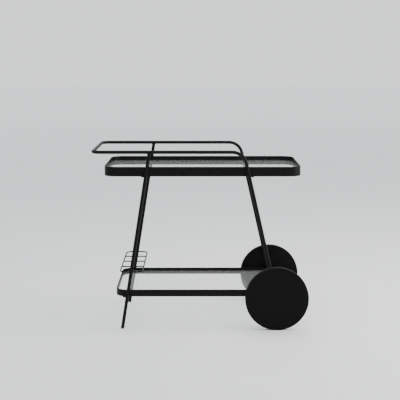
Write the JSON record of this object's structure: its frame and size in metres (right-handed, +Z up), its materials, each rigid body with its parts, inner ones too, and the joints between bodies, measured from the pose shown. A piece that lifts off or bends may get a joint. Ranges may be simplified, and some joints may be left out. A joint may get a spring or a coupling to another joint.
{
  "type": "bar cart",
  "caption": "Bar cart with a bent tube frame and handle loop, rimmed glass trays, a wire bottle rack and large solid disc wheels.",
  "frame": {"origin": "on the floor, under the middle of the cart's bounding box", "axes": "+X from the handle end to the wheel end, +Y towards the left side seen from behind the handle, +Z up"},
  "size_m": [1.023, 0.55, 0.85],
  "materials": {
    "frame_black": "satin black powder coat",
    "wheel_black": "matt black, fine grain",
    "tyre_black": "matt black rubber",
    "foot_black": "matt black",
    "clear_glass": "clear, polished",
    "pad_clear": "soft grey",
    "screw_black": "black oxide",
    "inner_steel": "turned steel",
    "bearing_steel": "ground steel"
  },
  "bodies": {
    "cart_frame": {"handle_loop": "frame_black", "right_rail_sleeve": "inner_steel", "right_wheel_leg": "frame_black", "right_foot_leg": "frame_black", "right_foot": "foot_black", "right_stub_axle": "inner_steel", "right_circlip": "inner_steel", "right_bearing_inner_rings": "bearing_steel", "left_rail_sleeve": "inner_steel", "left_wheel_leg": "frame_black", "left_foot_leg": "frame_black", "left_foot": "foot_black", "left_stub_axle": "inner_steel", "left_circlip": "inner_steel", "left_bearing_inner_rings": "bearing_steel", "top_tray_rim": "frame_black", "top_tray_glass": "clear_glass", "top_tray_glass_pads": "pad_clear", "top_tray_lugs": "frame_black", "top_tray_glass_tabs": "frame_black", "top_tray_brackets": "frame_black", "top_tray_screws": "screw_black", "bottom_shelf_rim": "frame_black", "bottom_shelf_glass": "clear_glass", "bottom_shelf_glass_pads": "pad_clear", "bottom_shelf_lugs": "frame_black", "bottom_shelf_glass_tabs": "frame_black", "bottom_shelf_brackets": "frame_black", "bottom_shelf_screws": "screw_black", "rack_loop_wire": "frame_black", "rack_cross_wires": "frame_black"},
    "right_wheel_body": {"right_bearing_outer_rings": "bearing_steel", "right_bearing_balls": "bearing_steel", "right_hub_flange": "frame_black", "right_hub_flange_screws": "screw_black", "right_wheel": "wheel_black", "right_tyre": "tyre_black"},
    "left_wheel_body": {"left_bearing_outer_rings": "bearing_steel", "left_bearing_balls": "bearing_steel", "left_hub_flange": "frame_black", "left_hub_flange_screws": "screw_black", "left_wheel": "wheel_black", "left_tyre": "tyre_black"}
  },
  "joints": [
    {"name": "right_wheel_spin", "type": "hinge", "parent": "cart_frame", "child": "right_wheel_body", "pos_m": [0.3615, -0.263, 0.15], "axis": [0, 1, 0], "continuous": true},
    {"name": "left_wheel_spin", "type": "hinge", "parent": "cart_frame", "child": "left_wheel_body", "pos_m": [0.3615, 0.263, 0.15], "axis": [0, 1, 0], "continuous": true}
  ]
}
